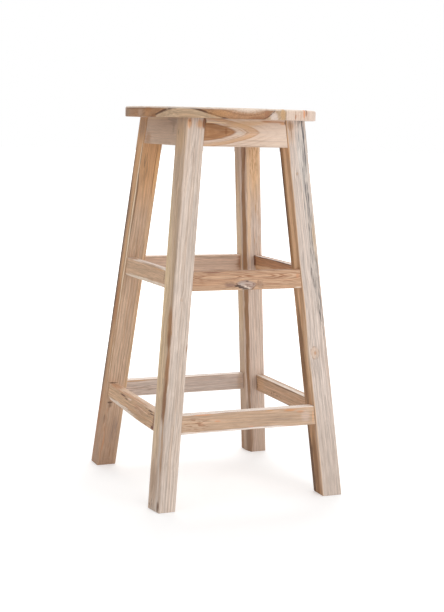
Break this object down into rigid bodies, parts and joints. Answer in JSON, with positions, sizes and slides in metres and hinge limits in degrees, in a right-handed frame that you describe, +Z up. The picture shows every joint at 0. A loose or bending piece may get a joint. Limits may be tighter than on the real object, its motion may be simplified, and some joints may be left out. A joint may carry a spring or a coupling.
{
  "type": "bar stool",
  "caption": "Raw hardwood bar stool with a round seat, splayed square legs, an apron frame and upper and lower frames of stretchers to rest the feet on.",
  "frame": {"origin": "on the floor, under the middle of the seat", "axes": "+Z up, -Y to the front, +X to the right when the front is faced"},
  "size_m": [0.3938, 0.3938, 0.75],
  "materials": {
    "seat_wood": "raw, sanded, brown heartwood and pale sapwood",
    "leg_wood": "raw, sanded, pale with grey-brown streaks",
    "apron_wood": "raw, sanded, brown heartwood figure",
    "stretcher_wood": "raw, sanded",
    "block_wood": "raw, sawn",
    "screw_steel": "zinc plated"
  },
  "bodies": {
    "root": {"seat_board_1": "seat_wood", "seat_board_2": "seat_wood", "seat_board_3": "seat_wood", "seat_board_4": "seat_wood", "leg_front_right": "leg_wood", "apron_front": "apron_wood", "upper_stretcher_front": "stretcher_wood", "lower_stretcher_front": "stretcher_wood", "corner_block_front_right": "block_wood", "apron_screw_front_right_to_front": "screw_steel", "apron_screw_front_right_to_right": "screw_steel", "seat_screw_front_right": "screw_steel", "leg_back_right": "leg_wood", "apron_right": "apron_wood", "upper_stretcher_right": "stretcher_wood", "lower_stretcher_right": "stretcher_wood", "corner_block_back_right": "block_wood", "apron_screw_back_right_to_right": "screw_steel", "apron_screw_back_right_to_back": "screw_steel", "seat_screw_back_right": "screw_steel", "leg_back_left": "leg_wood", "apron_back": "apron_wood", "upper_stretcher_back": "stretcher_wood", "lower_stretcher_back": "stretcher_wood", "corner_block_back_left": "block_wood", "apron_screw_back_left_to_back": "screw_steel", "apron_screw_back_left_to_left": "screw_steel", "seat_screw_back_left": "screw_steel", "leg_front_left": "leg_wood", "apron_left": "apron_wood", "upper_stretcher_left": "stretcher_wood", "lower_stretcher_left": "stretcher_wood", "corner_block_front_left": "block_wood", "apron_screw_front_left_to_left": "screw_steel", "apron_screw_front_left_to_front": "screw_steel", "seat_screw_front_left": "screw_steel"}
  },
  "joints": []
}
